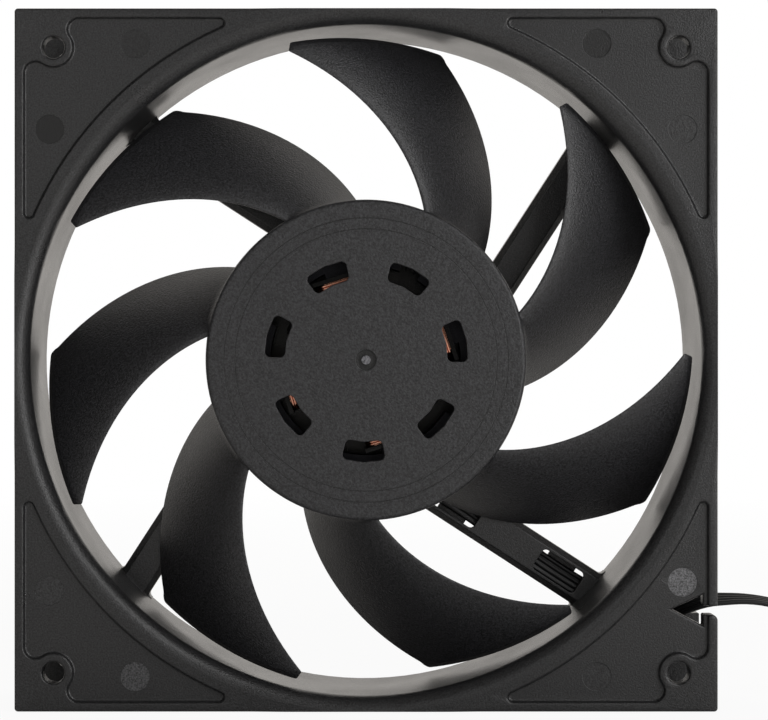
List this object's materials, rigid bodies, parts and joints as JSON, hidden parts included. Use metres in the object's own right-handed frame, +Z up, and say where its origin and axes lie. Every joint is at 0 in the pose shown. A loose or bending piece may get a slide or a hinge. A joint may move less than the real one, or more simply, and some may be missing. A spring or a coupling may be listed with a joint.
{
  "type": "case fan",
  "caption": "Square axial cooling fan with swept blades, open-cornered frame, hub motor and a flat cable with connector.",
  "frame": {"origin": "middle of the frame's lower side, on the surface it stands on", "axes": "+Z up, +Y along the fan axis towards the back, where the struts are, and +X to the right seen from the front"},
  "size_m": [0.2239, 0.0282, 0.14],
  "materials": {
    "frame_plastic": "fine moulded texture",
    "impeller_plastic": "fine moulded texture, satin blades",
    "brass_parts": "turned",
    "bronze_sleeve": "sintered and oiled",
    "black_nylon": "moulded",
    "connector_plastic": "moulded",
    "white_nylon": "moulded",
    "board_laminate": "black solder mask",
    "chip_resin": "moulded",
    "capacitor_ceramic": "fired",
    "core_steel": "stamped and varnished black",
    "yoke_steel": "drawn",
    "bonded_magnet": "pressed",
    "ground_shaft": "ground",
    "enamelled_copper": "enamelled wire",
    "tinned_metal": "tinned",
    "contact_metal": "plated",
    "cable_insulation": "extruded"
  },
  "bodies": {
    "frame": {"frame": "frame_plastic", "bearing_tube": "brass_parts", "bearing_cap": "black_nylon", "thrust_pad": "white_nylon", "bearing_sleeve": "bronze_sleeve", "oil_seal": "white_nylon", "circuit_board": "board_laminate", "hall_sensor": "chip_resin", "driver_chip": "chip_resin", "board_capacitors": "capacitor_ceramic", "board_resistors": "chip_resin", "lower_bobbin": "black_nylon", "stator_core": "core_steel", "upper_bobbin": "black_nylon", "coil_inner_layers": "enamelled_copper", "coil_outer_layers": "enamelled_copper", "winding_pins": "tinned_metal", "cable_in_strut": "cable_insulation", "wire_ends": "tinned_metal", "cable_lead": "cable_insulation", "cable_coil": "cable_insulation", "cable_tail": "cable_insulation", "cable_tie": "black_nylon", "connector_housing": "connector_plastic", "connector_contacts": "contact_metal"},
    "rotor": {"impeller_hub": "impeller_plastic", "impeller_blades": "impeller_plastic", "rotor_yoke": "yoke_steel", "rotor_magnet": "bonded_magnet", "shaft": "ground_shaft", "shaft_bush": "brass_parts", "shaft_clip": "white_nylon"}
  },
  "joints": [
    {"name": "impeller_spin", "type": "hinge", "parent": "frame", "child": "rotor", "pos_m": [0, 0, 0.07], "axis": [0, -1, 0], "continuous": true}
  ]
}
